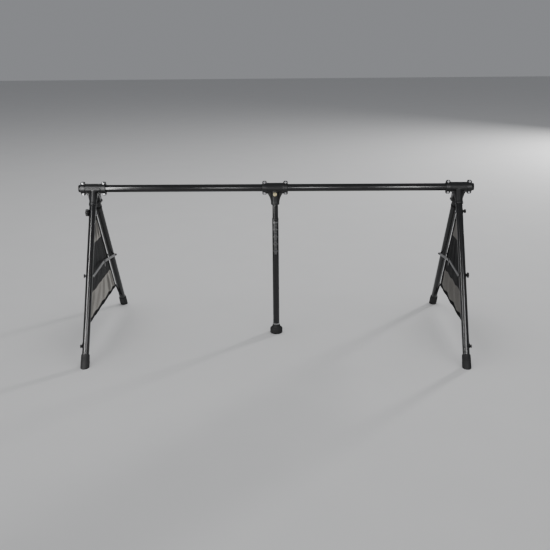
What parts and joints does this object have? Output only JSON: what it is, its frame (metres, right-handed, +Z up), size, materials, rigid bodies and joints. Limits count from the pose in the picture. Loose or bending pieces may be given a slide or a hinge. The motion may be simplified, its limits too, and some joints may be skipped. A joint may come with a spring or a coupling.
{
  "type": "bicycle event rack",
  "caption": "Free-standing rack with a long horizontal tube on two folding A-frames with fabric banners and a telescoping middle leg, for hanging bicycles by the saddle.",
  "frame": {"origin": "on the floor, under the middle of the bar", "axes": "+X along the bar, +Y towards the rear legs, +Z up"},
  "size_m": [2.626, 1.2172, 1.0855],
  "materials": {
    "black_tube": "black anodised, satin",
    "cast_black": "cast, fine texture, black coat",
    "steel_fastener": "zinc plated",
    "black_steel": "black zinc plated",
    "grey_aluminium": "grey, satin",
    "brass_tone": "brass-coloured, satin",
    "rubber": "moulded, matte",
    "black_plastic": "moulded, fine grain",
    "pale_plastic": "moulded, light grey",
    "banner_fabric": "woven polyester, light warm grey",
    "banner_band": "woven polyester, charcoal",
    "webbing": "woven webbing, black"
  },
  "bodies": {
    "frame": {"bar_left": "black_tube", "bar_end_cap_left": "black_plastic", "left_coupler_front": "cast_black", "left_coupler_rear": "cast_black", "left_coupler_bolt_1": "steel_fastener", "left_coupler_bolt_2": "steel_fastener", "left_coupler_bolt_3": "steel_fastener", "left_coupler_bolt_4": "steel_fastener", "left_front_leg": "black_tube", "left_hinge_pin": "black_steel", "left_front_cap": "rubber", "left_front_peg": "black_plastic", "left_banner": "banner_fabric", "bar_right": "black_tube", "bar_end_cap_right": "black_plastic", "right_coupler_front": "cast_black", "right_coupler_rear": "cast_black", "right_coupler_bolt_1": "steel_fastener", "right_coupler_bolt_2": "steel_fastener", "right_coupler_bolt_3": "steel_fastener", "right_coupler_bolt_4": "steel_fastener", "right_front_leg": "black_tube", "right_hinge_pin": "black_steel", "right_front_cap": "rubber", "right_front_peg": "black_plastic", "right_banner": "banner_fabric", "centre_coupler_front": "cast_black", "centre_coupler_rear": "cast_black", "centre_coupler_bolt_1": "steel_fastener", "centre_coupler_bolt_2": "steel_fastener", "centre_coupler_bolt_3": "steel_fastener", "centre_coupler_bolt_4": "steel_fastener", "neck_screw": "brass_tone", "centre_leg_upper": "black_tube"},
    "left_rear_leg": {"left_rear_leg": "black_tube", "left_rear_leg_head": "cast_black", "left_rear_cap": "rubber", "left_spreader_bolt": "black_steel", "left_rear_peg": "black_plastic"},
    "left_front_link": {"left_front_link": "grey_aluminium", "left_knee_pin": "steel_fastener"},
    "left_rear_link": {"left_rear_link": "grey_aluminium"},
    "left_spreader_knob": {"left_spreader_knob": "black_plastic"},
    "left_banner_knob": {"left_banner_knob": "black_plastic"},
    "right_rear_leg": {"right_rear_leg": "black_tube", "right_rear_leg_head": "cast_black", "right_rear_cap": "rubber", "right_spreader_bolt": "black_steel", "right_rear_peg": "black_plastic"},
    "right_front_link": {"right_front_link": "grey_aluminium", "right_knee_pin": "steel_fastener"},
    "right_rear_link": {"right_rear_link": "grey_aluminium"},
    "right_spreader_knob": {"right_spreader_knob": "black_plastic"},
    "right_banner_knob": {"right_banner_knob": "black_plastic"},
    "centre_leg_lower": {"centre_leg_lower": "black_tube", "centre_leg_guide": "black_plastic", "foot_plug": "pale_plastic"},
    "centre_foot": {"foot_stud": "steel_fastener", "centre_foot": "rubber"}
  },
  "joints": [
    {"name": "left_rear_leg_fold", "type": "hinge", "parent": "frame", "child": "left_rear_leg", "pos_m": [-1.214, 0.04985, 0.95], "axis": [-1, 0, 0], "range_deg": [0, 57.9], "deforming": ["left_banner"]},
    {"name": "left_front_link_fold", "type": "hinge", "parent": "frame", "child": "left_front_link", "pos_m": [-1.214, -0.288, 0.52], "axis": [1, 0, 0], "range_deg": [0, 57.9]},
    {"name": "left_rear_link_fold", "type": "hinge", "parent": "left_rear_leg", "child": "left_rear_link", "pos_m": [-1.214, 0.30683, 0.486], "axis": [-1, 0, 0], "range_deg": [0, 36.3]},
    {"name": "left_spreader_knob_turn", "type": "hinge", "parent": "frame", "child": "left_spreader_knob", "pos_m": [-1.214, -0.288, 0.52], "axis": [-1, 0, 0], "continuous": true},
    {"name": "left_banner_knob_turn", "type": "hinge", "parent": "frame", "child": "left_banner_knob", "pos_m": [-1.214, -0.08086, 0.894], "axis": [-1, 0, 0], "continuous": true},
    {"name": "right_rear_leg_fold", "type": "hinge", "parent": "frame", "child": "right_rear_leg", "pos_m": [1.214, 0.04985, 0.95], "axis": [-1, 0, 0], "range_deg": [0, 57.9], "deforming": ["right_banner"]},
    {"name": "right_front_link_fold", "type": "hinge", "parent": "frame", "child": "right_front_link", "pos_m": [1.214, -0.288, 0.52], "axis": [1, 0, 0], "range_deg": [0, 57.9]},
    {"name": "right_rear_link_fold", "type": "hinge", "parent": "right_rear_leg", "child": "right_rear_link", "pos_m": [1.214, 0.30683, 0.486], "axis": [-1, 0, 0], "range_deg": [0, 36.3]},
    {"name": "right_spreader_knob_turn", "type": "hinge", "parent": "frame", "child": "right_spreader_knob", "pos_m": [1.214, -0.288, 0.52], "axis": [1, 0, 0], "continuous": true},
    {"name": "right_banner_knob_turn", "type": "hinge", "parent": "frame", "child": "right_banner_knob", "pos_m": [1.214, -0.08086, 0.894], "axis": [1, 0, 0], "continuous": true},
    {"name": "centre_leg_extend", "type": "slide", "parent": "frame", "child": "centre_leg_lower", "axis": [0, 0, -1], "range_m": [-0.09, 0.1]},
    {"name": "centre_foot_turn", "type": "hinge", "parent": "centre_leg_lower", "child": "centre_foot", "pos_m": [0, 0, 0.06], "axis": [0, 0, 1], "continuous": true}
  ],
  "couplings": [
    {"joint": "left_front_link_fold", "follows": "left_rear_leg_fold", "ratio": 0.998},
    {"joint": "left_rear_link_fold", "follows": "left_rear_leg_fold", "ratio": 0.6252},
    {"joint": "right_front_link_fold", "follows": "right_rear_leg_fold", "ratio": 0.998},
    {"joint": "right_rear_link_fold", "follows": "right_rear_leg_fold", "ratio": 0.6252}
  ]
}
